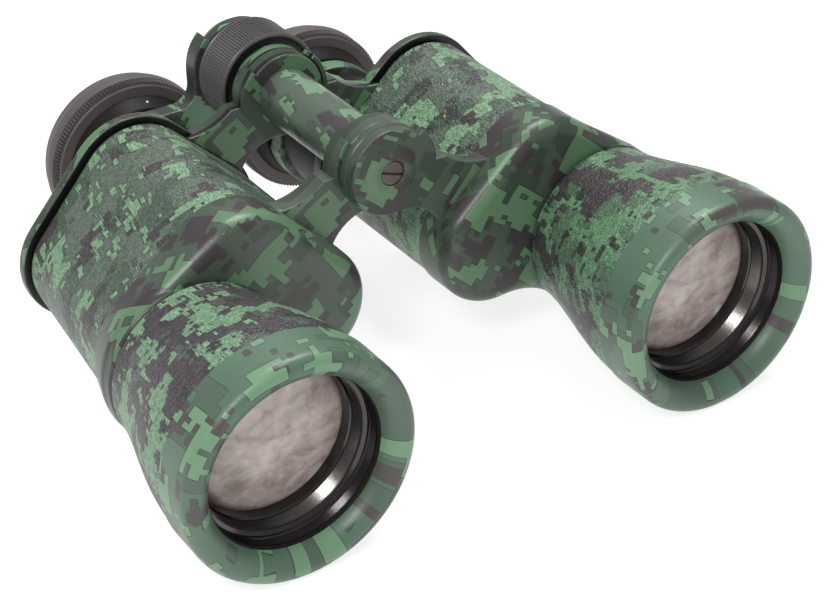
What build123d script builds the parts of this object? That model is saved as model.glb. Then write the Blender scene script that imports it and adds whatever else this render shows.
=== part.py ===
from build123d import *
import math
import os

# ---------------------------------------------------------------------------------------------
# Porro-prism binoculars, millimetres. X runs across the two barrels, +Y from the objectives to
# the eyepieces, +Z up. The origin is under the middle of the instrument, on the plane that the
# objective hoods stand on. A station is a distance back from the front rim.
# "left" is the user's left half, at +X, and "right" is the user's right half, at -X.
# ---------------------------------------------------------------------------------------------

# Whole instrument
barrel_spacing = 135.0
eye_spacing = 63.6
hinge_height = 34.3  # hinge axis above the objective axes
eye_height = 3.5  # eyepiece axes above the objective axes
fold_half_gap = 10.0  # degrees each arm keeps clear of the middle below the hinge
running_gap = 0.05  # radial, between a shaft and its bore
ring_gap = 0.3  # between parts that turn past each other
relief_gap = 0.4
glass_fit = 0.05
focus_travel_in = 1.2

# Objective hood and tube
hood_wall = 6.8  # round the cell
hood_length = 14.9
hood_mouth_margin = 1.3  # the mouth is this much wider than the glass
hood_mouth_depth = 6.2
hood_mouth_length = 3.2
hood_crest_inset = 3.6
hood_edge_round = 3.2
hood_seam_step = 0.5  # the tube's end is this much smaller than the hood
hood_seam_edge = 0.4
tube_length = 42.2
tube_end_radius = 25.2
tube_middle_radius = 26.8
tube_middle_from_back = 10.9
tube_flare_wall = 3.7  # round the cell, where the flare starts
tube_flare_from_hood = 18.0
tube_bore_depth = 19.5
tube_wall = 2.2
groove_radius = 23.6
groove_width = 1.2

# Objective lens group
lens_radius = 23.4
lens_clear_radius = 22.1
lens_depth = 19.7  # from the front rim to the front lens's edge
crown_thickness = 7.5
flint_thickness = 4.0
crown_bulge = 2.4
cell_wall = 3.0
cell_length = 24.0
cell_step_depth = 1.6
cell_step_slope = 0.6
retainer_length = 3.4
retainer_bevel = 1.2

# Prism housing and its two covers
apex_offset = 0.05  # upper lobe outwards from the middle between the two axes
apex_height = 19.7  # upper lobe above the objective axes
apex_radius = 18.3
eye_lobe_wall = 1.4  # round the eyepiece tube's bore, before the covers' lips
objective_lobe_front = 22.3
objective_lobe_back = 17.6
waist_radius = 25.5  # hollow under the housing, between its eyepiece and objective lobes
housing_length = 53.0
housing_wall = 2.2
front_cover_length = 14.3
front_cover_proud = 0.6
front_cover_round = 4.6
front_cover_wall = 3.4
front_cover_lobe = 26.2  # objective lobe of the front cover's front face
bell_radius = 25.2
bell_length = 4.0
bell_edge = 0.6
rear_lip_gap = 1.1
rear_lip_thickness = 3.7
rear_lip_proud = 1.9
rear_lip_round = 1.0
rear_lip_front_round = 0.6
cover_neck = 0.8  # how far the neck under a cover's lip stays inside the housing line
register_depth = 3.0
register_root = 1.0

# Prisms
prism_leg_width = 21.0
prism_bevel = 2.0
prism_gap = 0.5  # between a prism's corners and the housing's wall
shelf_setback = 25.3  # shelf's middle behind the housing's front
shelf_thickness = 3.0
shelf_fit = 0.12
shelf_ledge = 1.5
prism_seat = 0.05
clip_width = 6.0
clip_thickness = 0.6

# Hinge
tube_radius = 8.7
hinge_tube_flare = 3.4
axle_radius = 5.0
axle_bore_radius = 3.6
axle_plug_length = 6.0
cap_radius = 13.3
cap_length = 6.0
cap_setback = 7.1  # behind the front cover's face
cap_edge_height = 2.2
cap_floor = 3.2
cap_flat_radius = 4.0
cap_dome_drop = 1.0
cap_screw_radius = 2.4
front_arm_thickness = 5.8
right_front_ring_thickness = 7.0
ring_radius = 13.0
wrap_radius = 14.8
wrap_top = 45.0  # degrees above level where an arm's wrap round the hub ends
arm_hollow_radius = 20.6
arm_edge_round = 0.6
web_foot_inset = 11.0  # the web's lowest point, inwards from the eyepiece axis
web_foot_drop = 2.0  # and below it
arch_radius = 14.4
arch_drop = 27.2
arch_offset = 3.2
rear_arm_lap = 1.0  # how far a rear arm reaches forward over the housing
rear_ring_thickness = 2.9
rear_web_top = 10.0
rear_web_reach = 24.0
screw_head_radius = 3.6
screw_head_height = 1.6
screw_head_round = 0.4
screw_seat_gap = 0.15
screw_length = 8.0
screw_slot_width = 0.9
screw_slot_turn = 19.2  # degrees off level, as the screw came to rest

# Focus wheel and screw
wheel_radius = 16.25
wheel_length = 15.0
wheel_rim = 3.2
wheel_dish = 1.2
wheel_boss_width = 2.0
wheel_edge = 0.5
focus_screw_radius = 2.5
focus_screw_reach = 18.0
nut_radius = 6.4
nut_spigot_length = 6.0

# Bridge and eyepieces
bridge_thickness = 6.0
bridge_ring_radius = 14.2
bridge_back_ring_radius = 12.6
bridge_wrap_radius = 16.0
left_bridge_wrap_radius = 15.5
left_bridge_wrap_top = 20.0
bridge_hollow_radius = 6.0
bridge_arch_radius = 12.6
bridge_arch_height = 4.0  # arch centre above the objective axes
hub_radius = 6.0
hub_boss_radius = 8.0
hub_boss_length = 1.8
hub_cap_radius = 10.0
hub_cap_length = 2.6
hub_cap_round = 1.2
eye_ring_wall = 3.7
eye_tube_radius = 16.8
eye_tube_wall = 1.6
eye_tube_start = 3.0  # behind the rear cover
sleeve_wall = 1.9
sleeve_thread_depth = 3.0
guide_length = 4.0
guide_wall = 1.8
ocular_wall = 1.5
ocular_reach = 10.8  # in front of the bridge
ocular_recess = 7.4  # from the eyecup's crest
collar_gap = 1.4
collar_length = 5.4
collar_front_radius = 20.6
collar_back_radius = 22.6
collar_edge = 0.4
cup_gap = 0.4
cup_length = 13.0
cup_radius = 26.8
cup_knurl_length = 3.2
cup_bulge = 0.3
cup_shoulder_radius = 26.0
cup_shoulder_length = 3.6
cup_crest_radius = 22.6
cup_lip_radius = 20.8
cup_lip_drop = 0.8
cup_bore_radius = 17.2
cup_bore_depth = 5.8
field_lens_thickness = 5.0
field_lens_inset = 2.0
eye_lens_thickness = 6.0
eye_lens_bulge = 1.6
eye_lens_inset = 0.8
spacer_wall = 1.4

# Radii that follow the glass and the eyepiece tube
cell_radius = lens_radius + cell_wall
hood_radius = cell_radius + hood_wall
hood_mouth_radius = lens_radius + hood_mouth_margin
hood_crest_radius = hood_radius - hood_crest_inset
tube_flare_radius = cell_radius + tube_flare_wall
eye_lobe_radius = eye_tube_radius + eye_lobe_wall
eye_ring_radius = eye_tube_radius + eye_ring_wall
ocular_radius = eye_tube_radius - eye_tube_wall - guide_wall

# Heights and axes worked out from the values above
objective_x = barrel_spacing / 2
objective_z = hood_radius
eye_x = eye_spacing / 2
eye_z = objective_z + eye_height
apex_x = (objective_x + eye_x) / 2 + apex_offset
apex_z = objective_z + apex_height
hinge_z = objective_z + hinge_height
objective_centre = (objective_x, objective_z)
apex_centre = (apex_x, apex_z)
eye_centre = (eye_x, eye_z)

# Stations along the barrels, from the front rim back
cell_front_station = hood_mouth_depth + hood_mouth_length
tube_back_station = hood_length + tube_length
cover_front_station = tube_back_station + groove_width
cap_front_station = cover_front_station + cap_setback
cap_back_station = cap_front_station + cap_length
right_ring_front_station = cap_back_station + ring_gap
right_ring_back_station = right_ring_front_station + right_front_ring_thickness
housing_front_station = cover_front_station + front_cover_length
shelf_station = housing_front_station + shelf_setback
housing_back_station = housing_front_station + housing_length
rear_arm_front_station = housing_back_station - rear_arm_lap
rear_cover_front_station = housing_back_station + rear_lip_gap
rear_cover_back_station = rear_cover_front_station + rear_lip_thickness
rear_ring_front_station = rear_cover_back_station + ring_gap
rear_ring_back_station = rear_ring_front_station + rear_ring_thickness
wheel_front_station = rear_ring_back_station + ring_gap
wheel_back_station = wheel_front_station + wheel_length
sleeve_back_station = wheel_back_station + focus_travel_in + ring_gap
bridge_front_station = sleeve_back_station + hub_boss_length
bridge_lap_station = bridge_front_station + (bridge_thickness - ring_gap) / 2
bridge_back_station = bridge_front_station + bridge_thickness
eye_tube_front_station = rear_cover_back_station + eye_tube_start
ocular_front_station = bridge_front_station - ocular_reach
collar_front_station = bridge_back_station + collar_gap
collar_back_station = collar_front_station + collar_length
cup_front_station = collar_back_station + cup_gap
body_length = cup_front_station + cup_length
ocular_back_station = body_length - ocular_recess


def at(station):
    return station - body_length / 2


def across(station):
    """The plane across the instrument at a station: local x is +X, local y is +Z."""
    return Plane(origin=(0, at(station), 0), x_dir=(1, 0, 0), z_dir=(0, -1, 0))


def slab(sketch, front, back):
    return extrude(across(back) * sketch, amount=back - front)


def disc(x, z, radius):
    return Pos(x, z) * Circle(radius)


def rod(x, z, radius, front, back):
    return slab(disc(x, z, radius), front, back)


def pipe(x, z, outer, inner, front, back):
    return slab(disc(x, z, outer) - disc(x, z, inner), front, back)


def turned(x, z, *edges):
    """A body of revolution about the line along Y through x and z, from (radius, station) edges."""
    face = make_face([Pos(x, at(0), z) * edge for edge in edges])
    return revolve(face, Axis((x, 0, z), (0, 1, 0)), 360)


def polygon(*points):
    return make_face(Polyline(*points, close=True))


def on_circle(circle, direction):
    """The point of a circle (x, z, radius) that lies in a direction from its centre."""
    x, z, radius = circle
    size = math.hypot(*direction)
    return (x + radius * direction[0] / size, z + radius * direction[1] / size)


def hull_normal(first, second):
    """Outward normal of the line that runs anticlockwise along two circles."""
    dx, dz = second[0] - first[0], second[1] - first[1]
    distance = math.hypot(dx, dz)
    lean = (first[2] - second[2]) / distance
    side = math.sqrt(1 - lean * lean)
    return ((dx * lean + dz * side) / distance, (dz * lean - dx * side) / distance)


def meeting_centre(first, second, radius):
    """Centre of the circle that touches two circles from outside, on their clockwise side."""
    x1, z1, r1 = first
    x2, z2, r2 = second
    distance = math.hypot(x2 - x1, z2 - z1)
    ux, uz = (x2 - x1) / distance, (z2 - z1) / distance
    along = ((r1 + radius) ** 2 - (r2 + radius) ** 2 + distance ** 2) / (2 * distance)
    off = math.sqrt((r1 + radius) ** 2 - along ** 2)
    return (x1 + ux * along + uz * off, z1 + uz * along - ux * off)


def outline(eye, objective, apex, waist):
    """A closed outline round three circles (x, z, radius): straight above, hollowed below."""
    centre = meeting_centre(eye, objective, waist)
    below_eye = (centre[0] - eye[0], centre[1] - eye[1])
    below_objective = (centre[0] - objective[0], centre[1] - objective[1])
    outer = hull_normal(objective, apex)
    inner = hull_normal(apex, eye)
    waist_middle = (eye[0] + objective[0] - 2 * centre[0], eye[1] + objective[1] - 2 * centre[1])
    waist_end = on_circle(objective, below_objective)
    objective_middle = (1, -0.6)
    apex_middle = (outer[0] + inner[0], outer[1] + inner[1])
    eye_middle = (-1, -0.6)
    return make_face([
        ThreePointArc(on_circle(eye, below_eye), on_circle((*centre, waist), waist_middle), waist_end),
        ThreePointArc(waist_end, on_circle(objective, objective_middle), on_circle(objective, outer)),
        Line(on_circle(objective, outer), on_circle(apex, outer)),
        ThreePointArc(on_circle(apex, outer), on_circle(apex, apex_middle), on_circle(apex, inner)),
        Line(on_circle(apex, inner), on_circle(eye, inner)),
        ThreePointArc(on_circle(eye, inner), on_circle(eye, eye_middle), on_circle(eye, below_eye)),
    ])


def objective_lobe(station):
    """Radius of the housing's objective lobe, which widens towards the front."""
    share = (housing_back_station - station) / (housing_back_station - housing_front_station)
    return objective_lobe_back + (objective_lobe_front - objective_lobe_back) * share


def section(growth, lobe):
    """The housing's three-lobed section, grown or shrunk all round."""
    return outline(
        (eye_x, eye_z, eye_lobe_radius + growth),
        (objective_x, objective_z, lobe + growth),
        (apex_x, apex_z, apex_radius + growth),
        waist_radius - growth,
    )


def tapered(growth, front, front_lobe, back, back_lobe):
    """A straight-sided body from one section to another."""
    return loft([across(front) * section(growth, front_lobe), across(back) * section(growth, back_lobe)],
                ruled=True)


def housing_form(growth, front, back):
    return tapered(growth, front, objective_lobe(front), back, objective_lobe(back))


def lens_arc(x_radius, edge, crown):
    """A spherical lens face: from its rim, at one station, to its middle, at another."""
    drop = crown - edge
    ball = (x_radius ** 2 + drop ** 2) / (2 * abs(drop))
    turn = math.asin(x_radius / ball) / 2
    middle = crown - math.copysign(ball * (1 - math.cos(turn)), drop)
    return ThreePointArc((x_radius, edge), (ball * math.sin(turn), middle), (0, crown))


def mirrored(solid):
    return mirror(solid, about=Plane.YZ)


# ------------------------------------------------------------------------------ arms and rings


def sector(radius, start, end):
    """A wedge about the hinge axis between two angles in degrees, out to a radius."""
    points = [(0, hinge_z)]
    steps = 6
    for step in range(steps + 1):
        angle = math.radians(start + (end - start) * step / steps)
        points.append((radius * math.cos(angle), hinge_z + radius * math.sin(angle)))
    return polygon(*points)


def eased(plate, radius):
    """A plate across the instrument with the edges of its front and back faces rounded."""
    faces = plate.faces().sort_by(Axis.Y)
    return fillet(faces[0].edges() + faces[-1].edges(), radius)


def half_wedge():
    """The sweep that one arm may fill: from its wrap's top to just short of straight down."""
    return sector(eye_spacing, -90 + fold_half_gap, wrap_top)


def arm_outline():
    """A hinge arm: wrapped round the hub above, hollowed to the housing, arched below."""
    reach = wrap_radius + arm_hollow_radius
    hollow_x = eye_x
    hollow_z = hinge_z + math.sqrt(reach ** 2 - hollow_x ** 2)
    arch_z = hinge_z - arch_drop
    web = polygon(
        (0, hinge_z),
        (hollow_x, hinge_z),
        (apex_x, apex_z),
        (eye_x, eye_z),
        (eye_x - web_foot_inset, eye_z - web_foot_drop),
        (0, arch_z),
    )
    shape = web + (disc(0, hinge_z, wrap_radius) & half_wedge())
    shape = shape - disc(hollow_x, hollow_z, arm_hollow_radius)
    return shape - disc(arch_offset, arch_z, arch_radius)


def front_cover_body(arm):
    """A rounded cap over the prism housing, with a round boss for the tube, joined to its arm."""
    lobe = objective_lobe(housing_front_station)
    cap = tapered(front_cover_proud, cover_front_station, front_cover_lobe, housing_front_station, lobe)
    cap = fillet(cap.faces().sort_by(Axis.Y)[0].edges(), front_cover_round)
    bell = rod(
        objective_x, objective_z, bell_radius, cover_front_station, cover_front_station + bell_length,
    )
    bell = chamfer(bell.faces().sort_by(Axis.Y)[0].edges(), bell_edge)
    hollow = slab(
        section(-housing_wall, lobe),
        cover_front_station + front_cover_wall,
        housing_front_station,
    )
    register_back = housing_front_station + register_depth
    inner_lobe = objective_lobe(register_back)
    inner = section(-2 * housing_wall, inner_lobe)
    register = slab(
        section(-housing_wall - shelf_fit, inner_lobe) - inner,
        housing_front_station - register_root,
        register_back,
    )
    root = slab(
        section(-housing_wall + shelf_fit, inner_lobe) - inner,
        housing_front_station - 2 * register_root,
        housing_front_station,
    )
    bore = rod(objective_x, objective_z, groove_radius - tube_wall, cover_front_station - 1, register_back)
    return cap + bell + arm - hollow + register + root - bore


def left_front_cover():
    arm_front = cap_back_station - front_arm_thickness
    arm = eased(slab(arm_outline() + disc(0, hinge_z, ring_radius), arm_front, cap_back_station),
                arm_edge_round)
    cap = turned(
        0, hinge_z,
        Line((0, cap_back_station), (cap_radius, cap_back_station)),
        Line((cap_radius, cap_back_station), (cap_radius, cap_back_station - cap_edge_height)),
        ThreePointArc(
            (cap_radius, cap_back_station - cap_edge_height),
            (cap_radius * 0.76, cap_front_station + cap_dome_drop),
            (cap_flat_radius, cap_front_station),
        ),
        Line((cap_flat_radius, cap_front_station), (0, cap_front_station)),
        Line((0, cap_front_station), (0, cap_back_station)),
    )
    screw_seat = rod(0, hinge_z, screw_head_radius + screw_seat_gap, cap_front_station - 1,
                     cap_front_station + screw_head_height)
    screw_hole = rod(0, hinge_z, cap_screw_radius + screw_seat_gap, cap_front_station, cap_back_station)
    axle_seat = rod(0, hinge_z, axle_radius, cap_front_station + cap_floor, cap_back_station)
    return front_cover_body(arm) + cap - screw_seat - screw_hole - axle_seat


def right_front_cover():
    ring_front = right_ring_front_station
    arm = eased(slab(arm_outline() + disc(0, hinge_z, ring_radius), ring_front, right_ring_back_station),
                arm_edge_round)
    keep_out = housing_form(front_cover_proud / 2, housing_front_station, housing_back_station)
    bore = rod(0, hinge_z, axle_radius + running_gap, ring_front - 1, right_ring_back_station + 1)
    return mirrored(front_cover_body(arm - keep_out) - bore)


def rear_cover_body():
    """Rear cover without its arm: a lipped plate on a neck, bored for the eyepiece sleeve."""
    lip = slab(
        section(rear_lip_proud, objective_lobe_back),
        rear_cover_front_station,
        rear_cover_back_station,
    )
    lip = fillet(lip.faces().sort_by(Axis.Y)[-1].edges(), rear_lip_round)
    lip = fillet(lip.faces().sort_by(Axis.Y)[0].edges(), rear_lip_front_round)
    neck = slab(
        section(-cover_neck, objective_lobe_back),
        housing_back_station,
        rear_cover_front_station,
    )
    register = slab(
        section(-housing_wall - shelf_fit, objective_lobe_back)
        - section(-2 * housing_wall, objective_lobe_back),
        housing_back_station - register_depth,
        housing_back_station,
    )
    bore = rod(
        eye_x, eye_z, eye_tube_radius + running_gap,
        housing_back_station - register_depth - 1, rear_cover_back_station + 1,
    )
    thread = rod(
        eye_x, eye_z, eye_tube_radius + sleeve_wall,
        rear_cover_back_station - sleeve_thread_depth, rear_cover_back_station + 1,
    )
    return lip + neck + register - bore - thread


def rear_arm_plate(outer):
    plate = eased(slab(outer, rear_arm_front_station, rear_cover_back_station), arm_edge_round)
    plate = plate - slab(
        section(ring_gap, objective_lobe_back), rear_arm_front_station - 1, rear_cover_front_station,
    )
    thread = rod(
        eye_x, eye_z, eye_tube_radius + sleeve_wall,
        rear_cover_back_station - sleeve_thread_depth - 4, rear_cover_back_station + 1,
    )
    return plate - thread


def right_rear_cover():
    """The right half's rear ring is the front one of the two, and lies in its arm's own plate."""
    plate = rear_arm_plate((arm_outline() & half_wedge()) + disc(0, hinge_z, ring_radius))
    bore = rod(0, hinge_z, axle_radius + running_gap, rear_arm_front_station - 1,
               rear_cover_back_station + 1)
    return mirrored(rear_cover_body() + plate - bore)


def left_rear_cover():
    """The left half's rear ring lies behind the right one, so its arm is relieved around that."""
    plate = rear_arm_plate(arm_outline() & half_wedge())
    relief = rod(0, hinge_z, ring_radius + relief_gap, rear_arm_front_station - 1,
                 rear_ring_front_station)
    ring_back = rear_ring_back_station
    ring = rod(0, hinge_z, ring_radius, rear_ring_front_station, ring_back)
    web_sweep = sector(rear_web_reach, -90 + fold_half_gap, rear_web_top)
    web = slab(arm_outline() & web_sweep, rear_cover_back_station - 1, ring_back) - relief
    clear = rod(eye_x, eye_z, eye_tube_radius + sleeve_wall + ring_gap,
                rear_cover_back_station - sleeve_thread_depth, ring_back + 1)
    bore = rod(0, hinge_z, axle_radius, rear_arm_front_station - 1, ring_back + 1)
    return rear_cover_body() + (plate - relief) + (web - clear) + ring - bore


# ------------------------------------------------------------------------------ barrel pieces


def prism_housing():
    outer = housing_form(0, housing_front_station, housing_back_station)
    return outer - housing_form(-housing_wall, housing_front_station, housing_back_station)


def tube_profile():
    """Outer line of the objective tube: nearly straight, easing out to the hood."""
    hood_seat = hood_radius - hood_seam_step
    return Spline(
        (tube_end_radius, tube_back_station),
        (tube_middle_radius, tube_back_station - tube_middle_from_back),
        (tube_flare_radius, hood_length + tube_flare_from_hood),
        (hood_seat, hood_length),
    )


def objective_tube():
    hood_seat = hood_radius - hood_seam_step
    groove_back = cover_front_station
    thread_back = cover_front_station + front_cover_wall
    bore_back = groove_radius - 2 * tube_wall
    cell_seat = cell_radius + running_gap
    return turned(
        objective_x, objective_z,
        tube_profile(),
        Line((hood_seat, hood_length), (cell_seat, hood_length)),
        Line((cell_seat, hood_length), (cell_seat, hood_length + tube_bore_depth)),
        Line((cell_seat, hood_length + tube_bore_depth), (bore_back, tube_back_station)),
        Line((bore_back, tube_back_station), (bore_back, thread_back)),
        Line((bore_back, thread_back), (groove_radius - tube_wall, thread_back)),
        Line((groove_radius - tube_wall, thread_back), (groove_radius - tube_wall, groove_back)),
        Line((groove_radius - tube_wall, groove_back), (groove_radius, groove_back)),
        Line((groove_radius, groove_back), (groove_radius, tube_back_station)),
        Line((groove_radius, tube_back_station), (tube_end_radius, tube_back_station)),
    )


def objective_hood():
    """The smooth front ring: rounded outside, dished in to the mouth, seated on the tube's end."""
    crest = hood_crest_radius
    hood_corner = (hood_radius - 0.31 * hood_edge_round, 0.28 * hood_edge_round)
    hood_dish = (crest - 0.55 * (crest - hood_mouth_radius), 0.27 * hood_mouth_depth)
    seat = cell_radius + running_gap
    return turned(
        objective_x, objective_z,
        Line((hood_radius - hood_seam_edge, hood_length), (hood_radius, hood_length - hood_seam_edge)),
        Line((hood_radius, hood_length - hood_seam_edge), (hood_radius, hood_edge_round)),
        ThreePointArc((hood_radius, hood_edge_round), hood_corner, (crest, 0)),
        ThreePointArc(
            (crest, 0),
            hood_dish,
            (hood_mouth_radius, hood_mouth_depth),
        ),
        Line((hood_mouth_radius, hood_mouth_depth), (hood_mouth_radius, cell_front_station)),
        Line((hood_mouth_radius, cell_front_station), (seat, cell_front_station)),
        Line((seat, cell_front_station), (seat, hood_length)),
        Line((seat, hood_length), (hood_radius - hood_seam_edge, hood_length)),
    )


def objective_cell():
    """Black cell that holds the doublet, with a stepped mouth and a lip behind the glass."""
    front = cell_front_station
    back = front + cell_length
    step = front + cell_step_depth
    mouth = hood_mouth_radius - ring_gap
    bore = lens_radius + glass_fit
    lip_front = lens_depth + crown_thickness + flint_thickness
    return turned(
        objective_x, objective_z,
        Line((cell_radius, front), (cell_radius, back)),
        Line((cell_radius, back), (lens_clear_radius, back)),
        Line((lens_clear_radius, back), (lens_clear_radius, lip_front)),
        Line((lens_clear_radius, lip_front), (bore, lip_front)),
        Line((bore, lip_front), (bore, step + cell_step_slope)),
        Line((bore, step + cell_step_slope), (mouth, step)),
        Line((mouth, step), (mouth, front)),
        Line((mouth, front), (cell_radius, front)),
    )


def retaining_ring():
    """Threaded ring screwed down on the front of the doublet."""
    front = lens_depth - retainer_length
    mouth = (lens_clear_radius + lens_radius) / 2
    outer = lens_radius
    return turned(
        objective_x, objective_z,
        Line((outer, front), (outer, lens_depth)),
        Line((outer, lens_depth), (lens_clear_radius, lens_depth)),
        Line((lens_clear_radius, lens_depth), (lens_clear_radius, front + retainer_bevel)),
        Line((lens_clear_radius, front + retainer_bevel), (mouth, front)),
        Line((mouth, front), (outer, front)),
    )


def crown_lens():
    front = lens_depth
    back = front + crown_thickness
    return turned(
        objective_x, objective_z,
        lens_arc(lens_clear_radius, front, front - crown_bulge),
        Line((0, front - crown_bulge), (0, back)),
        Line((0, back), (lens_radius, back)),
        Line((lens_radius, back), (lens_radius, front)),
        Line((lens_radius, front), (lens_clear_radius, front)),
    )


def flint_lens():
    front = lens_depth + crown_thickness
    back = front + flint_thickness
    return rod(objective_x, objective_z, lens_radius, front, back)


def lobe_axis(start, end):
    """Middle and direction of the line between two lobe centres."""
    middle = ((start[0] + end[0]) / 2, (start[1] + end[1]) / 2)
    return middle, math.atan2(end[1] - start[1], end[0] - start[0])


def prism_half(start, end):
    """Half a prism's long face: the full prism, or as much as the housing's lobes leave room for."""
    distance = math.hypot(end[0] - start[0], end[1] - start[1])
    lobe = min(apex_radius, eye_lobe_radius, objective_lobe(shelf_station))
    corner = lobe - housing_wall - prism_gap
    return min(distance, distance / 2 + math.sqrt(corner ** 2 - (prism_leg_width / 2) ** 2))


def roof_profile(half, height, growth):
    """Side view of a prism on its long face, with its two sharp ends cut square."""
    base = half + growth
    return [(-base, 0), (-base, prism_bevel), (-prism_bevel - growth * 0.4, height + growth),
            (prism_bevel + growth * 0.4, height + growth), (base, prism_bevel), (base, 0)]


def roof_solid(start, end, station, backwards, width, growth):
    """A block with a prism's side view, laid on the shelf between two lobe centres."""
    (mx, mz), angle = lobe_axis(start, end)
    half = prism_half(start, end)
    profile = polygon(*roof_profile(half, half - prism_bevel, growth))
    solid = extrude(profile, amount=width / 2, both=True)
    way = 1 if backwards else -1
    # The profile's x lies along the line of centres, and its y points off the shelf.
    lying = Plane(
        origin=(mx, at(station), mz),
        x_dir=(math.cos(angle), 0, math.sin(angle)),
        z_dir=(-math.sin(angle) * way, 0, math.cos(angle) * way),
    )
    return lying * solid


def shelf_faces():
    half = shelf_thickness / 2
    return shelf_station - half, shelf_station + half


def prism_shelf():
    front, back = shelf_faces()
    plate = slab(section(-housing_wall - shelf_fit, objective_lobe(back)), front, back)
    for x, z in (objective_centre, apex_centre, eye_centre):
        plate = plate - rod(x, z, prism_leg_width / 2 - shelf_ledge, front - 1, back + 1)
    return plate


def rear_prism():
    back = shelf_faces()[1]
    return roof_solid(objective_centre, apex_centre, back + prism_seat, True, prism_leg_width, 0)


def front_prism():
    front = shelf_faces()[0]
    return roof_solid(apex_centre, eye_centre, front - prism_seat, False, prism_leg_width, 0)


def prism_clips():
    """A sprung strap over the roof of each prism, standing on the shelf."""
    front, back = shelf_faces()
    straps = []
    for start, end, station, backwards in (
        (objective_centre, apex_centre, back, True),
        (apex_centre, eye_centre, front, False),
    ):
        outer = roof_solid(start, end, station, backwards, clip_width, clip_thickness + 2 * prism_seat)
        inner = roof_solid(start, end, station, backwards, clip_width + 2, 2 * prism_seat)
        straps.append(outer - inner)
    return Compound(children=[strap.solid() for strap in straps])


# ------------------------------------------------------------------------------ centre column


def hinge_tube():
    front = right_ring_back_station
    back = rear_arm_front_station
    flare = tube_radius + hinge_tube_flare
    flare_back = front + 1.6 * hinge_tube_flare
    bore = axle_radius + running_gap
    return turned(
        0, hinge_z,
        Line((bore, front), (flare, front)),
        ThreePointArc((flare, front), (tube_radius + 0.27 * hinge_tube_flare, front + 0.6 * hinge_tube_flare),
                      (tube_radius, flare_back)),
        Line((tube_radius, flare_back), (tube_radius, back)),
        Line((tube_radius, back), (bore, back)),
        Line((bore, back), (bore, front)),
    )


def hinge_axle():
    """Hollow axle fixed in the left half, tapped in front for the cap screw."""
    front = cap_front_station + cap_floor
    plug_back = front + axle_plug_length
    hollow = pipe(0, hinge_z, axle_radius, axle_bore_radius, plug_back, rear_ring_back_station)
    return hollow + pipe(0, hinge_z, axle_radius, cap_screw_radius, front, plug_back)


def hinge_cap_screw():
    head_back = cap_front_station + screw_head_height
    head = rod(0, hinge_z, screw_head_radius, cap_front_station, head_back)
    head = fillet(head.faces().sort_by(Axis.Y)[0].edges(), screw_head_round)
    slot_cutter = Box(3 * screw_head_radius, screw_head_height, screw_slot_width)
    slot = Pos(0, at(cap_front_station), hinge_z) * Rot(0, screw_slot_turn, 0) * slot_cutter
    shank = rod(0, hinge_z, cap_screw_radius - running_gap, head_back, cap_front_station + screw_length)
    return head + shank - slot


def focus_wheel():
    front = wheel_front_station
    back = wheel_back_station
    wheel = rod(0, hinge_z, wheel_radius, front, back)
    wheel = chamfer(wheel.edges(), wheel_edge)
    for recess_front, recess_back in ((front - 1, front + wheel_dish), (back - wheel_dish, back + 1)):
        wheel = wheel - pipe(0, hinge_z, wheel_radius - wheel_rim, nut_radius + wheel_boss_width,
                             recess_front, recess_back)
    return wheel - rod(0, hinge_z, nut_radius, front - 1, back + 1)


def focus_nut():
    """Brass nut pressed in the wheel, with a spigot that runs in the hollow axle."""
    front = wheel_front_station
    nut = rod(0, hinge_z, nut_radius, front, wheel_back_station)
    spigot = rod(0, hinge_z, axle_bore_radius - running_gap, front - nut_spigot_length, front)
    bore = rod(0, hinge_z, focus_screw_radius + running_gap, front - nut_spigot_length - 1,
               wheel_back_station + 1)
    return nut + spigot - bore


def focus_screw():
    """Runs through the hub into the end cap, where it is fixed."""
    front = wheel_front_station - focus_screw_reach
    back = bridge_back_station + hub_cap_length / 2
    return rod(0, hinge_z, focus_screw_radius, front, back)


# ------------------------------------------------------------------------------ bridge


def bridge_hub():
    """Turned hub that the two bridge arms swing on, with a flange in front and a cap behind."""
    back = bridge_back_station
    boss = rod(0, hinge_z, hub_boss_radius, bridge_front_station - hub_boss_length, bridge_front_station)
    core = rod(0, hinge_z, hub_radius, bridge_front_station, back)
    return boss + core - rod(0, hinge_z, focus_screw_radius, bridge_front_station - 3, back + 1)


def bridge_cap():
    back = bridge_back_station
    cap = rod(0, hinge_z, hub_cap_radius, back + running_gap, back + hub_cap_length)
    cap = fillet(cap.faces().sort_by(Axis.Y)[-1].edges(), hub_cap_round)
    return cap - rod(0, hinge_z, focus_screw_radius, back - 1, back + hub_cap_length / 2)


def bridge_arm_outline(wrap, top):
    """A bridge arm: wrapped round the hub, then down in a tight curve to the eyepiece ring."""
    ring_top = eye_z + eye_ring_radius
    hollow_x = wrap + bridge_hollow_radius
    hollow_z = ring_top + bridge_hollow_radius
    web = polygon(
        (0, hinge_z),
        (wrap, hinge_z),
        (wrap, hollow_z),
        (hollow_x, ring_top),
        (eye_x, ring_top),
        (eye_x, eye_z),
        (bridge_arch_radius - 2, objective_z + bridge_arch_height),
        (0, objective_z + bridge_arch_height),
    )
    fold = sector(eye_spacing, -90 + fold_half_gap, top)
    shape = (web & fold) + (disc(0, hinge_z, wrap) & fold) + disc(eye_x, eye_z, eye_ring_radius)
    shape = shape - disc(hollow_x, hollow_z, bridge_hollow_radius)
    return shape - disc(0, objective_z + bridge_arch_height, bridge_arch_radius)


def bridge_arm_plate(wrap, top):
    sketch = bridge_arm_outline(wrap, top) - disc(eye_x, eye_z, eye_tube_radius)
    return eased(slab(sketch, bridge_front_station, bridge_back_station), arm_edge_round)


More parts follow.
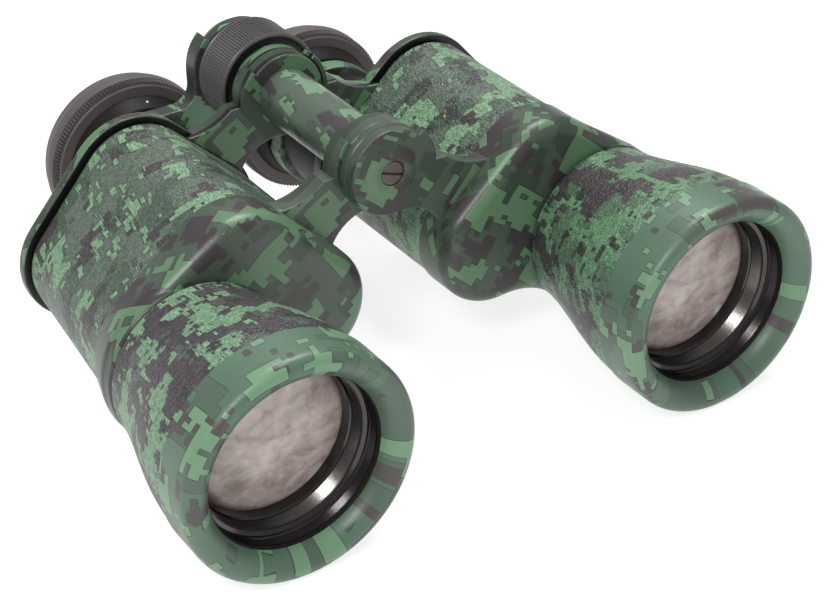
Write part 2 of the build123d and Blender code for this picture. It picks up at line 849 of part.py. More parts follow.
def right_bridge_arm():
    """Its ring is the front one of the two on the hub."""
    front, lap, back = bridge_front_station, bridge_lap_station, bridge_back_station
    plate = bridge_arm_plate(bridge_wrap_radius, wrap_top) + rod(0, hinge_z, bridge_ring_radius, front, lap)
    plate = plate - rod(0, hinge_z, bridge_back_ring_radius + relief_gap, lap, back + 1)
    return mirrored(plate - rod(0, hinge_z, hub_radius + running_gap, front - 1, back + 1))


def left_bridge_arm():
    """Its ring is the back one of the two on the hub."""
    front, lap, back = bridge_front_station, bridge_lap_station, bridge_back_station
    plate = bridge_arm_plate(left_bridge_wrap_radius, left_bridge_wrap_top)
    plate = plate - rod(0, hinge_z, bridge_ring_radius + relief_gap, front - 1, lap + ring_gap)
    plate = plate + rod(0, hinge_z, bridge_back_ring_radius, lap + ring_gap, back)
    return plate - rod(0, hinge_z, hub_radius, front - 1, back + 1)


# ------------------------------------------------------------------------------ eyepieces


def eyepiece_sleeve():
    """Fixed sleeve screwed in the rear cover, in which the eyepiece tube slides."""
    return pipe(
        eye_x, eye_z, eye_tube_radius + sleeve_wall, eye_tube_radius + running_gap,
        rear_cover_back_station - sleeve_thread_depth, sleeve_back_station,
    )


def eyepiece_tube():
    back = bridge_back_station
    inner = eye_tube_radius - eye_tube_wall
    body = pipe(eye_x, eye_z, eye_tube_radius, inner, eye_tube_front_station, back)
    guide = pipe(eye_x, eye_z, inner, ocular_radius + running_gap,
                 bridge_front_station - guide_length, back)
    return body + guide


def ocular_barrel():
    """Inner barrel that carries the eyepiece lenses, with the collar that the eyecup screws on."""
    inner = ocular_radius - ocular_wall
    return pipe(eye_x, eye_z, ocular_radius, inner, ocular_front_station, ocular_back_station)


def dioptre_collar():
    inner = ocular_radius + running_gap
    return turned(
        eye_x, eye_z,
        Line((inner, collar_front_station), (collar_front_radius - collar_edge, collar_front_station)),
        Line((collar_front_radius - collar_edge, collar_front_station),
             (collar_front_radius, collar_front_station + collar_edge)),
        Line((collar_front_radius, collar_front_station + collar_edge),
             (collar_back_radius, collar_back_station)),
        Line((collar_back_radius, collar_back_station), (inner, collar_back_station)),
        Line((inner, collar_back_station), (inner, collar_front_station)),
    )


def field_lens():
    inner = ocular_radius - ocular_wall - glass_fit
    front = ocular_front_station + field_lens_inset
    return rod(eye_x, eye_z, inner, front, front + field_lens_thickness)


def eye_lens():
    radius = ocular_radius - ocular_wall - glass_fit
    back = ocular_back_station - eye_lens_inset
    front = back - eye_lens_thickness
    return turned(
        eye_x, eye_z,
        Line((0, front), (radius, front)),
        Line((radius, front), (radius, back - eye_lens_bulge)),
        lens_arc(radius, back - eye_lens_bulge, back),
        Line((0, back), (0, front)),
    )


def lens_spacer():
    radius = ocular_radius - ocular_wall - glass_fit
    front = ocular_front_station + field_lens_inset + field_lens_thickness
    back = ocular_back_station - eye_lens_inset - eye_lens_thickness
    return pipe(eye_x, eye_z, radius, radius - spacer_wall, front, back)


def eyecup():
    """Hard eyecup: a knurled band, then a full wall that rounds in to a lipped mouth."""
    knurl_back = cup_front_station + cup_knurl_length
    shoulder = body_length - cup_shoulder_length
    neck = ocular_radius + running_gap
    cup_seat = ocular_radius - ocular_wall / 2
    round_x = cup_crest_radius + (cup_shoulder_radius - cup_crest_radius) * 0.72
    round_y = body_length - cup_shoulder_length * 0.28
    lip = body_length - cup_lip_drop
    return turned(
        eye_x, eye_z,
        Line((neck, cup_front_station), (cup_radius, cup_front_station)),
        Line((cup_radius, cup_front_station), (cup_radius, knurl_back)),
        ThreePointArc((cup_radius, knurl_back), (cup_radius + cup_bulge, knurl_back + cup_knurl_length),
                      (cup_shoulder_radius, shoulder)),
        ThreePointArc((cup_shoulder_radius, shoulder), (round_x, round_y), (cup_crest_radius, body_length)),
        ThreePointArc((cup_crest_radius, body_length),
                      ((cup_crest_radius + cup_lip_radius) / 2, body_length - cup_lip_drop * 0.3),
                      (cup_lip_radius, lip)),
        Line((cup_lip_radius, lip), (cup_bore_radius, body_length - cup_bore_depth)),
        Line((cup_bore_radius, body_length - cup_bore_depth), (cup_seat, ocular_back_station)),
        Line((cup_seat, ocular_back_station), (neck, ocular_back_station)),
        Line((neck, ocular_back_station), (neck, cup_front_station)),
    )


# ------------------------------------------------------------------------------ the parts

nodes = {
    "left_front_cover": left_front_cover(),
    "right_front_cover": right_front_cover(),
    "left_rear_cover": left_rear_cover(),
    "right_rear_cover": right_rear_cover(),
    "hinge_tube": hinge_tube(),
    "hinge_axle": hinge_axle(),
    "hinge_cap_screw": hinge_cap_screw(),
    "focus_wheel": focus_wheel(),
    "focus_nut": focus_nut(),
    "focus_screw": focus_screw(),
    "bridge_hub": bridge_hub(),
    "bridge_cap": bridge_cap(),
    "left_bridge_arm": left_bridge_arm(),
    "right_bridge_arm": right_bridge_arm(),
}

paired = {
    "prism_housing": prism_housing(),
    "objective_tube": objective_tube(),
    "objective_hood": objective_hood(),
    "objective_cell": objective_cell(),
    "retaining_ring": retaining_ring(),
    "crown_lens": crown_lens(),
    "flint_lens": flint_lens(),
    "prism_shelf": prism_shelf(),
    "front_prism": front_prism(),
    "rear_prism": rear_prism(),
    "prism_clips": prism_clips(),
    "eyepiece_sleeve": eyepiece_sleeve(),
    "eyepiece_tube": eyepiece_tube(),
    "ocular_barrel": ocular_barrel(),
    "dioptre_collar": dioptre_collar(),
    "field_lens": field_lens(),
    "lens_spacer": lens_spacer(),
    "eye_lens": eye_lens(),
    "eyecup": eyecup(),
}
for name, solid in paired.items():
    nodes["left_" + name] = solid
    nodes["right_" + name] = mirrored(solid)

os.makedirs("parts", exist_ok=True)
for name, solid in nodes.items():
    export_step(solid, "parts/" + name + ".step")
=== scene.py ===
import math
import bmesh
import bpy
from mathutils import Matrix, Vector


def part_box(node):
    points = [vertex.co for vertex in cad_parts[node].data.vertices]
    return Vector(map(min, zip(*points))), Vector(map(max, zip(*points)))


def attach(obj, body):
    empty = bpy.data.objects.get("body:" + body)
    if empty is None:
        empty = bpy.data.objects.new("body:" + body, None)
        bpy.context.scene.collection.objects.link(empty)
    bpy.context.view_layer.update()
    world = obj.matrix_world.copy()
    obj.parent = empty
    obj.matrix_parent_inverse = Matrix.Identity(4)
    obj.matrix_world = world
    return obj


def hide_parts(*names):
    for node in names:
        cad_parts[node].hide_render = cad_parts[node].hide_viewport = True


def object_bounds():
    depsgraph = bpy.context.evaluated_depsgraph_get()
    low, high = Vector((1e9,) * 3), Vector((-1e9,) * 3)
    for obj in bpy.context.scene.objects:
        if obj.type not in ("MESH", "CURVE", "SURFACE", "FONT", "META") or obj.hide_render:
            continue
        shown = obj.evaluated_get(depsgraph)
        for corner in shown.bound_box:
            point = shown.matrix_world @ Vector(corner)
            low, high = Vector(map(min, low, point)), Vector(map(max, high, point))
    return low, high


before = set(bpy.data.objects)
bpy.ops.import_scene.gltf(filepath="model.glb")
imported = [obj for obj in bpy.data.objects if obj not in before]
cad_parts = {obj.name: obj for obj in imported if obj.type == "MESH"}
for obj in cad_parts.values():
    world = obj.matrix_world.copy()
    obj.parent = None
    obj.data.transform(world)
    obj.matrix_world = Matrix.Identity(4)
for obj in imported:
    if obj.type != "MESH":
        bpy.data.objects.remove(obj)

cad_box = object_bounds()

# ------------------------------------------------------------------------------------------------
# Prism housings: two die-cast alloy shells, one for each half of the instrument.
# They are sprayed with a leathery texture, and a blocky camouflage film is floated over that, so
# the pattern wraps round the walls and stretches a little where the shell curves.


def paint(red, green, blue):
    """A paint colour read off a 0-255 shade card, as the linear numbers that a shader takes."""
    shades = []
    for shade in (red, green, blue):
        shades.append(((shade / 255 + 0.055) / 1.055) ** 2.4)
    return (*shades, 1.0)


def add(tree, kind, inputs=None, **settings):
    """Adds a node, sets its settings, and links or sets its inputs."""
    made = tree.nodes.new(kind)
    for key, value in settings.items():
        setattr(made, key, value)
    for key, value in (inputs or {}).items():
        if isinstance(value, bpy.types.NodeSocket):
            tree.links.new(value, made.inputs[key])
        else:
            made.inputs[key].default_value = value
    return made


def calc(tree, operation, first, second=0.0):
    """A sum on one or two numbers."""
    return add(tree, "ShaderNodeMath", {0: first, 1: second}, operation=operation).outputs[0]


def vector_calc(tree, operation, first, second):
    """A sum on two vectors."""
    return add(tree, "ShaderNodeVectorMath", {0: first, 1: second}, operation=operation).outputs[0]


def blend_colours(tree, share, under, over):
    """Lays one colour over another, where share is above 0."""
    inputs = {0: share, 6: under, 7: over}
    return add(tree, "ShaderNodeMix", inputs, data_type="RGBA").outputs[2]


def new_group(name, inputs, outputs):
    """An empty shader node group and its two ends."""
    tree = bpy.data.node_groups.new(name, "ShaderNodeTree")
    for label, kind in inputs:
        tree.interface.new_socket(label, in_out="INPUT", socket_type="NodeSocket" + kind)
    for label, kind in outputs:
        tree.interface.new_socket(label, in_out="OUTPUT", socket_type="NodeSocket" + kind)
    return tree, tree.nodes.new("NodeGroupInput").outputs, tree.nodes.new("NodeGroupOutput").inputs


def stepped_patch():
    """1 inside patches whose edges run in square steps. Big steps carry smaller ones."""
    tree, given, result = new_group(
        "stepped patch",
        [("Place", "Vector"), ("Block", "Vector"), ("Spread", "Float"), ("Share", "Float"),
         ("Seed", "Float")],
        [("Patch", "Float")],
    )
    half_steps = (0.5, 0.5, 1.0)
    small_spread = 3.0
    raggedness = 0.42

    seed = add(tree, "ShaderNodeCombineXYZ", {"Z": given["Seed"]}).outputs[0]
    small_block = vector_calc(tree, "MULTIPLY", given["Block"], half_steps)
    big_place = vector_calc(tree, "SNAP", given["Place"], given["Block"])
    small_place = vector_calc(tree, "SNAP", given["Place"], small_block)
    big = add(tree, "ShaderNodeTexNoise", {
        "Vector": vector_calc(tree, "ADD", big_place, seed), "Scale": given["Spread"], "Detail": 0.0,
    }).outputs[0]
    small = add(tree, "ShaderNodeTexNoise", {
        "Vector": vector_calc(tree, "ADD", small_place, seed),
        "Scale": calc(tree, "MULTIPLY", given["Spread"], small_spread),
        "Detail": 0.0,
    }).outputs[0]
    ragged = calc(tree, "MULTIPLY", calc(tree, "SUBTRACT", small, 0.5), raggedness)
    edge = calc(tree, "SUBTRACT", 1.0, given["Share"])
    tree.links.new(calc(tree, "GREATER_THAN", calc(tree, "ADD", big, ragged), edge), result["Patch"])
    return tree


def outlined_patch(patch_group):
    """A stepped patch and the thin dark line round it."""
    tree, given, result = new_group(
        "outlined patch",
        [("Place", "Vector"), ("Block", "Vector"), ("Spread", "Float"), ("Share", "Float"),
         ("Seed", "Float")],
        [("Patch", "Float"), ("Outline", "Float")],
    )
    line_width = 0.00028

    middle = tree.nodes.new("ShaderNodeGroup")
    middle.node_tree = patch_group
    around = 0.0
    shifts = ((line_width, 0, 0), (-line_width, 0, 0), (0, line_width, 0), (0, -line_width, 0))
    for name in ("Place", "Block", "Spread", "Share", "Seed"):
        tree.links.new(given[name], middle.inputs[name])
    for shift in shifts:
        moved = tree.nodes.new("ShaderNodeGroup")
        moved.node_tree = patch_group
        tree.links.new(vector_calc(tree, "ADD", given["Place"], shift), moved.inputs["Place"])
        for name in ("Block", "Spread", "Share", "Seed"):
            tree.links.new(given[name], moved.inputs[name])
        around = calc(tree, "MAXIMUM", around, moved.outputs[0])
    tree.links.new(middle.outputs[0], result["Patch"])
    tree.links.new(calc(tree, "SUBTRACT", around, middle.outputs[0]), result["Outline"])
    return tree


patch_nodes = outlined_patch(stepped_patch())


def film_place(tree, centre, radius, turn, wraps_front, sway):
    """Where a point lies on the flat film, in metres: round the piece and along it.

    A turned piece has its front rolled out with its side, and on any other piece the faces that
    look forwards or back take the film flat.
    """
    facing_limit = 0.7
    swell_scale = 45.0

    coordinates = tree.nodes.new("ShaderNodeTexCoord")
    point = vector_calc(tree, "SUBTRACT", coordinates.outputs["Object"], centre)
    axes = add(tree, "ShaderNodeSeparateXYZ", {0: point}).outputs
    round_it = calc(tree, "MULTIPLY", calc(tree, "ARCTAN2", axes[0], axes[2]), radius)
    if wraps_front:
        across = calc(tree, "MULTIPLY", axes[0], axes[0])
        up = calc(tree, "MULTIPLY", axes[2], axes[2])
        out = calc(tree, "SQRT", calc(tree, "ADD", across, up))
        along = calc(tree, "ADD", axes[1], out)
        place = add(tree, "ShaderNodeCombineXYZ", {0: round_it, 1: along}).outputs[0]
    else:
        side = add(tree, "ShaderNodeCombineXYZ", {0: round_it, 1: axes[1]}).outputs[0]
        face = add(tree, "ShaderNodeCombineXYZ", {0: axes[0], 1: axes[2]}).outputs[0]
        faces = add(tree, "ShaderNodeSeparateXYZ", {0: coordinates.outputs["Normal"]}).outputs
        flat = calc(tree, "GREATER_THAN", calc(tree, "ABSOLUTE", faces[1]), facing_limit)
        place = add(tree, "ShaderNodeMix", {0: flat, 4: side, 5: face}, data_type="VECTOR").outputs[1]
    swell = add(tree, "ShaderNodeTexNoise", {
        "Vector": place, "Scale": swell_scale, "Detail": 0.0,
    }).outputs[1]
    drift = vector_calc(tree, "SUBTRACT", swell, (0.5, 0.5, 0.5))
    drift = vector_calc(tree, "MULTIPLY", drift, (sway, sway, 0.0))
    place = vector_calc(tree, "ADD", place, drift)
    return add(tree, "ShaderNodeVectorRotate", {"Vector": place, "Angle": math.radians(turn)},
               rotation_type="Z_AXIS").outputs[0]


def camouflage(name, centre, radius, ground, layers, turn=0.0, wraps_front=False, sway=0.006,
               leather=0.0, roughness=0.42, seed=0, seam=None, bore=0.0):
    """Camouflage film over a casting. layers are (colour, block in mm, patches a metre, share).

    Two places are black: the seam, a stretch along Y in metres painted black as the shade in its
    groove, and all within the bore's radius of the axis through centre.
    """
    cloud_scale = 60.0
    faded = 1.18
    soiled = 0.78
    seed_step = 3.7
    outline_share = 0.6
    outline_colour = paint(44, 48, 44)
    # painted shade for the grooves at the seams
    seam_shade_black = paint(14, 15, 15)
    bore_black = paint(10, 10, 11)
    grain_scale = 2600.0
    grain_depth = 0.00003
    pebble_scale = 1500.0
    fold_scale = 700.0
    leather_depth = 0.0004

    material = bpy.data.materials.new(name)
    material.use_nodes = True
    tree = material.node_tree
    shader = tree.nodes["Principled BSDF"]
    point = tree.nodes.new("ShaderNodeTexCoord").outputs["Object"]
    place = film_place(tree, centre, radius, turn, wraps_front, sway)

    cloud = add(tree, "ShaderNodeTexNoise", {
        "Vector": point, "Scale": cloud_scale, "Detail": 3.0,
    }).outputs[0]
    colour = blend_colours(tree, cloud, [c * soiled for c in ground], [c * faded for c in ground])
    for step, (shade, block, spread, share) in enumerate(layers):
        patch = tree.nodes.new("ShaderNodeGroup")
        patch.node_tree = patch_nodes
        tree.links.new(place, patch.inputs["Place"])
        patch.inputs["Block"].default_value = (block[0] / 1000, block[1] / 1000, 1.0)
        patch.inputs["Spread"].default_value = spread
        patch.inputs["Share"].default_value = share
        patch.inputs["Seed"].default_value = seed + step * seed_step
        outline = calc(tree, "MULTIPLY", patch.outputs["Outline"], outline_share)
        colour = blend_colours(tree, outline, colour, outline_colour)
        colour = blend_colours(tree, patch.outputs["Patch"], colour, shade)

    # Painted shade: the seam's groove is painted black.
    if seam:
        station = add(tree, "ShaderNodeSeparateXYZ", {0: point}).outputs[1]
        inside = calc(tree, "MULTIPLY", calc(tree, "GREATER_THAN", station, seam[0]),
                      calc(tree, "LESS_THAN", station, seam[1]))
        colour = blend_colours(tree, inside, colour, seam_shade_black)
    if bore:
        from_centre = vector_calc(tree, "SUBTRACT", point, centre)
        flat = vector_calc(tree, "MULTIPLY", from_centre, (1.0, 0.0, 1.0))
        out = add(tree, "ShaderNodeVectorMath", {0: flat}, operation="LENGTH").outputs["Value"]
        colour = blend_colours(tree, calc(tree, "LESS_THAN", out, bore), colour, bore_black)

    grain = add(tree, "ShaderNodeTexNoise", {
        "Vector": point, "Scale": grain_scale, "Detail": 2.0,
    }).outputs[0]
    height = grain
    depth = grain_depth
    if leather:
        # The crests of the leathery spray are painted lighter, as wear and as painted sheen, and the
        # colour is darker in its folds.
        pebbles = add(tree, "ShaderNodeTexVoronoi", {
            "Vector": point, "Scale": pebble_scale, "Smoothness": 0.5,
        }, feature="SMOOTH_F1").outputs["Distance"]
        folds = add(tree, "ShaderNodeTexNoise", {
            "Vector": point, "Scale": fold_scale, "Detail": 4.0,
        }).outputs[0]
        height = calc(tree, "SUBTRACT", folds, calc(tree, "MULTIPLY", pebbles, 0.7))
        depth = leather_depth * leather
        crest = add(tree, "ShaderNodeMapRange", {
            0: height, 1: -0.05, 2: 0.45, 3: 0.62, 4: 1.22,
        }).outputs[0]
        shaded = add(tree, "ShaderNodeVectorMath", {0: colour, "Scale": crest}, operation="SCALE")
        colour = shaded.outputs[0]
    bump = add(tree, "ShaderNodeBump", {"Strength": 1.0, "Distance": depth, "Height": height}).outputs[0]
    tree.links.new(colour, shader.inputs["Base Color"])
    tree.links.new(bump, shader.inputs["Normal"])
    shine = add(tree, "ShaderNodeMapRange", {
        0: grain, 3: roughness - 0.06, 4: roughness + 0.08,
    }).outputs[0]
    tree.links.new(shine, shader.inputs["Roughness"])
    return material


def dress(names, material):
    """Puts one finish on CAD nodes, which keep their shape and place."""
    for name in names:
        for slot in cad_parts[name].material_slots:
            slot.material = material


def middle_of(name):
    """The middle of a CAD node's box."""
    low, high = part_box(name)
    return (low + high) / 2


def radius_of(name):
    """Half the width of a CAD node's box, which is a turned node's radius."""
    low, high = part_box(name)
    return (high.x - low.x) / 2


mint = paint(122, 158, 124)
moss = paint(76, 94, 80)
bark = paint(70, 64, 66)
film_grey_green = paint(94, 108, 96)

# A black band of painted shade runs all round, in the groove between each housing's back and its rear
# cover.
housing_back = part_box("left_prism_housing")[1].y
shade_inside_housing = 0.0004
shade_past_housing = 0.0012
rear_seam_shade = (housing_back - shade_inside_housing, housing_back + shade_past_housing)

# The film rolls round a housing as if round a drum somewhat smaller than its width.
wrap_radius = radius_of("left_prism_housing") * 0.7
housing_films = {
    "left": [
        (mint, (3.0, 3.0), 42.0, 0.50),
        (moss, (1.4, 1.4), 120.0, 0.40),
        (bark, (1.4, 2.4), 130.0, 0.34),
        (mint, (0.8, 3.0), 170.0, 0.30),
    ],
    "right": [
        (moss, (3.2, 1.6), 90.0, 0.40),
        (bark, (1.4, 3.4), 100.0, 0.34),
        (mint, (1.8, 2.8), 110.0, 0.35),
        (mint, (0.7, 4.5), 190.0, 0.29),
    ],
}
for half in ("left", "right"):
    housing = half + "_prism_housing"
    finish = camouflage(
        half + " housing film", middle_of(housing), wrap_radius, film_grey_green,
        housing_films[half], turn=14.0, leather=1.0, roughness=0.40,
        seed=11 if half == "left" else 23, seam=rear_seam_shade,
    )
    dress([housing], finish)

# ------------------------------------------------------------------------------------------------
# Objective tubes: spun alloy tubes that flare out to the hoods, screwed in the front covers.
# They carry the same leathery spray. The film landed light on one and dark on the other.

tube_centre = {half: middle_of(half + "_objective_tube") for half in ("left", "right")}
tube_radius = radius_of("left_objective_tube")

# A black line of painted shade runs round each tube, in the groove where it screws in the front cover.
thread_length = 0.0034
neck_length = 0.0012
neck_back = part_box("left_objective_tube")[1].y - thread_length
neck = (neck_back - neck_length, neck_back)

dusk = paint(72, 66, 71)
leaf = paint(100, 138, 104)
light_tube = camouflage(
    "left tube film", tube_centre["left"], tube_radius, leaf,
    [
        (paint(84, 112, 90), (4.5, 1.5), 80.0, 0.42),
        (bark, (4.6, 1.6), 95.0, 0.39),
        (paint(54, 58, 56), (1.3, 1.3), 210.0, 0.30),
    ],
    leather=1.0, roughness=0.40, seed=31, seam=neck,
)
dark_tube = camouflage(
    "right tube film", tube_centre["right"], tube_radius, dusk,
    [
        (paint(84, 92, 86), (4.0, 1.5), 80.0, 0.42),
        (paint(116, 152, 120), (2.6, 2.2), 70.0, 0.46),
        (paint(124, 156, 126), (0.8, 4.0), 170.0, 0.32),
        (paint(60, 56, 60), (1.3, 1.3), 210.0, 0.28),
    ],
    leather=1.0, roughness=0.40, seed=43, seam=neck,
)
dress(["left_objective_tube"], light_tube)
dress(["right_objective_tube"], dark_tube)

# ------------------------------------------------------------------------------------------------
# Front and rear covers: smooth castings screwed to the two ends of each housing.
# Their arms reach over to the hinge, one behind the other, and the film lies on them in big
# slanted blocks with a satin shine.

for half in ("left", "right"):
    finish = camouflage(
        half + " cover film", middle_of(half + "_prism_housing"), wrap_radius, paint(70, 82, 71),
        [
            (paint(55, 69, 57), (5.5, 3.2), 70.0, 0.42),
            (paint(62, 56, 58), (4.2, 3.4), 85.0, 0.40),
            (paint(91, 123, 92), (4.6, 3.0), 85.0, 0.41),
        ],
        turn=38.0 if half == "left" else -34.0, roughness=0.36, seed=5 if half == "left" else 17,
        seam=rear_seam_shade,
    )
    dress([half + "_front_cover", half + "_rear_cover"], finish)

# ------------------------------------------------------------------------------------------------
# Objective hoods: smooth rounded rings pressed on the ends of the tubes, the front rim and the
# dished mouth in one turning. The film stretches round the rim and stops at the mouth's black bore.

bore_margin = 0.0015
mouth_radius = radius_of("left_retaining_ring") + bore_margin
for half in ("left", "right"):
    finish = camouflage(
        half + " hood film", tube_centre[half], radius_of(half + "_objective_hood"), paint(85, 111, 92),
        [
            (paint(80, 98, 84), (9.0, 5.0), 45.0, 0.42),
            (paint(78, 74, 72), (2.6, 4.0), 80.0, 0.36),
            (paint(108, 144, 112), (3.2, 4.0), 80.0, 0.38),
        ],
        wraps_front=True, sway=0.004, roughness=0.38, seed=61 if half == "left" else 73,
        bore=mouth_radius,
    )
    dress([half + "_objective_hood"], finish)

# ------------------------------------------------------------------------------------------------
# Objective cells and retaining rings: turned alloy, black and glossy, behind the hoods' mouths.
# Each ring screws down on the front lens. The wall before it has a sawtooth thread that stops
# stray reflections, worn to a satin grey in the cell and black in the hood's bore.


def plain_finish(name, colour, roughness, metallic=0.0, coat=0.0, specular=0.5, grain=0.00002,
                 wear=0.15):
    """One colour with slight clouding and a fine surface grain, grain metres deep."""
    cloud_scale = 120.0
    grain_scale = 900.0
    polish_range = 0.05

    material = bpy.data.materials.new(name)
    material.use_nodes = True
    tree = material.node_tree
    shader = tree.nodes["Principled BSDF"]
    shader.inputs["Metallic"].default_value = metallic
    shader.inputs["Coat Weight"].default_value = coat
    shader.inputs["Coat Roughness"].default_value = 0.12
    shader.inputs["Specular IOR Level"].default_value = specular
    point = tree.nodes.new("ShaderNodeTexCoord").outputs["Object"]
    cloud = add(tree, "ShaderNodeTexNoise", {
        "Vector": point, "Scale": cloud_scale, "Detail": 4.0,
    }).outputs[0]
    dull = [c * (1 - wear) for c in colour]
    bright = [c * (1 + wear) for c in colour]
    tree.links.new(blend_colours(tree, cloud, dull, bright), shader.inputs["Base Color"])
    fine = add(tree, "ShaderNodeTexNoise", {
        "Vector": point, "Scale": grain_scale, "Detail": 3.0,
    }).outputs[0]
    shine = add(tree, "ShaderNodeMapRange", {
        0: fine, 3: roughness - polish_range, 4: roughness + polish_range,
    }).outputs[0]
    tree.links.new(shine, shader.inputs["Roughness"])
    bump = add(tree, "ShaderNodeBump", {"Strength": 1.0, "Distance": grain, "Height": fine}).outputs[0]
    tree.links.new(bump, shader.inputs["Normal"])
    return material


gloss_black = plain_finish("black anodised alloy", paint(16, 14, 15), 0.16, coat=0.6)
dress(["left_objective_cell", "right_objective_cell"], gloss_black)


def lathe(name, centre, profile, steps):
    """A closed turning about the line along Y through centre, from (radius, station) points."""
    points = []
    faces = []
    count = len(profile)
    for step in range(steps):
        angle = 2 * math.pi * step / steps
        for radius, station in profile:
            across = centre.x + radius * math.cos(angle)
            up = centre.z + radius * math.sin(angle)
            points.append((across, station, up))
    for step in range(steps):
        following = (step + 1) % steps
        for place in range(count):
            after = (place + 1) % count
            faces.append((step * count + place, step * count + after,
                          following * count + after, following * count + place))
    mesh = bpy.data.meshes.new(name)
    mesh.from_pydata(points, [], faces)
    made = bpy.data.objects.new(name, mesh)
    bpy.context.scene.collection.objects.link(made)
    return made


def outward(piece):
    """Turns every face of a closed piece outwards."""
    work = bmesh.new()
    work.from_mesh(piece.data)
    bmesh.ops.recalc_face_normals(work, faces=work.faces)
    work.to_mesh(piece.data)
    work.free()


def smooth_by_angle(piece, degrees):
    """Smooth shading, with a crease where two faces meet at more than an angle."""
    piece.data.shade_smooth()
    piece.data.set_sharp_from_angle(angle=math.radians(degrees))


thread_black = plain_finish("black thread", paint(46, 43, 44), 0.22, metallic=0.8)
thread_satin = plain_finish("worn thread", paint(104, 99, 97), 0.24, metallic=0.9)
thread_steps = 160


def threaded(name, centre, outer, start, turns):
    """A thin threaded lining. Each turn's long flank faces forwards, out of the mouth."""
    pitch = 0.00055
    flank = 0.00047
    depth = 0.00032
    thinnest = 0.00002
    profile = [(outer, start), (outer - depth, start)]
    for turn in range(1, turns + 1):
        station = start - turn * pitch
        profile.append((outer - thinnest, station + pitch - flank))
        profile.append((outer - depth, station))
    profile[-1] = (outer, station)
    return lathe(name, centre, profile, thread_steps)


ring_lip = 0.0013
ring_slope = 0.0004
ring_steps = 144
clearance = 0.0001
cell_turns = 8
hood_turns = 5
hood_wall_out = 0.0013  # the hood's bore stands this much outside the ring
hood_bore_back = 0.0092
crease = 25
for half in ("left", "right"):
    ring_node = half + "_retaining_ring"
    low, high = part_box(ring_node)
    centre = middle_of(ring_node)
    outer = radius_of(ring_node)
    lens_edge = outer - ring_lip
    ring = lathe(half + "_ring_turning", centre, [
        (outer, high.y),
        (lens_edge, high.y),
        (lens_edge, high.y - ring_slope),
        (lens_edge + ring_slope, low.y + ring_slope),
        (lens_edge + 2 * ring_slope, low.y),
        (outer, low.y),
    ], ring_steps)
    ring.data.materials.append(gloss_black)
    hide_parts(ring_node)

    cell_thread = threaded(half + "_cell_thread", centre, outer, low.y - clearance, cell_turns)
    cell_thread.data.materials.append(thread_satin)
    hood_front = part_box(half + "_objective_hood")[0].y
    hood_thread = threaded(half + "_hood_thread", centre, outer + hood_wall_out - clearance / 2,
                           hood_front + hood_bore_back, hood_turns)
    hood_thread.data.materials.append(thread_black)

    for piece in (ring, cell_thread, hood_thread):
        outward(piece)
        smooth_by_angle(piece, crease)
        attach(piece, half + "_half")

# ------------------------------------------------------------------------------------------------
# Objective lenses: cemented doublets, the crown in front. The crown carries a painted reflection,
# a warm pinkish grey with soft streaks, and painted brown shade towards the rim of the glass.


def lens_painted_reflection(name, centre, radius):
    """Glass with a painted reflection in warm grey and pale pink streaks, and painted brown shade
    towards its rim.
    """
    off_middle = radius * 0.05
    shade_from = radius * 0.84
    shade_to = radius * 0.93
    edge_from = radius * 0.95
    reflected_warm_grey = paint(171, 154, 149)
    reflected_pale_pink = paint(223, 208, 203)
    painted_shade_brown = paint(96, 66, 54)
    painted_rim_shade = paint(30, 20, 17)

    material = bpy.data.materials.new(name)
    material.use_nodes = True
    tree = material.node_tree
    shader = tree.nodes["Principled BSDF"]
    shader.inputs["Roughness"].default_value = 0.10
    shader.inputs["IOR"].default_value = 1.5
    point = tree.nodes.new("ShaderNodeTexCoord").outputs["Object"]
    rel = vector_calc(tree, "SUBTRACT", point, centre)
    stretched = vector_calc(tree, "MULTIPLY", rel, (1.0, 0.0, 1.5))
    # Painted reflection: warm grey clouded with pale pink streaks.
    reflection_streaks = add(tree, "ShaderNodeTexNoise", {
        "Vector": stretched, "Scale": 120.0, "Detail": 8.0, "Roughness": 0.62, "Distortion": 0.35,
    }).outputs[0]
    reflection_veil = add(tree, "ShaderNodeMapRange", {0: reflection_streaks, 1: 0.36, 2: 0.62}).outputs[0]
    colour = blend_colours(tree, reflection_veil, reflected_warm_grey, reflected_pale_pink)

    # The painted lit patch sits a little off the middle, and painted shade from the mouth covers the
    # rest.
    lit_centre = (off_middle, 0.0, -off_middle)
    flat = vector_calc(tree, "MULTIPLY", rel, (1.0, 0.0, 1.0))
    off_centre = vector_calc(tree, "SUBTRACT", flat, lit_centre)
    out = add(tree, "ShaderNodeVectorMath", {0: off_centre}, operation="LENGTH").outputs["Value"]
    shade = add(tree, "ShaderNodeMapRange", {0: out, 1: shade_from, 2: shade_to}).outputs[0]
    colour = blend_colours(tree, shade, colour, painted_shade_brown)
    # Painted shade darkens the rim itself most.
    edge = add(tree, "ShaderNodeMapRange", {0: out, 1: edge_from, 2: radius}).outputs[0]
    colour = blend_colours(tree, edge, colour, painted_rim_shade)
    tree.links.new(colour, shader.inputs["Base Color"])
    return material


for half in ("left", "right"):
    lens = half + "_crown_lens"
    dress([lens], lens_painted_reflection(half + " lens coating", middle_of(lens), radius_of(lens)))


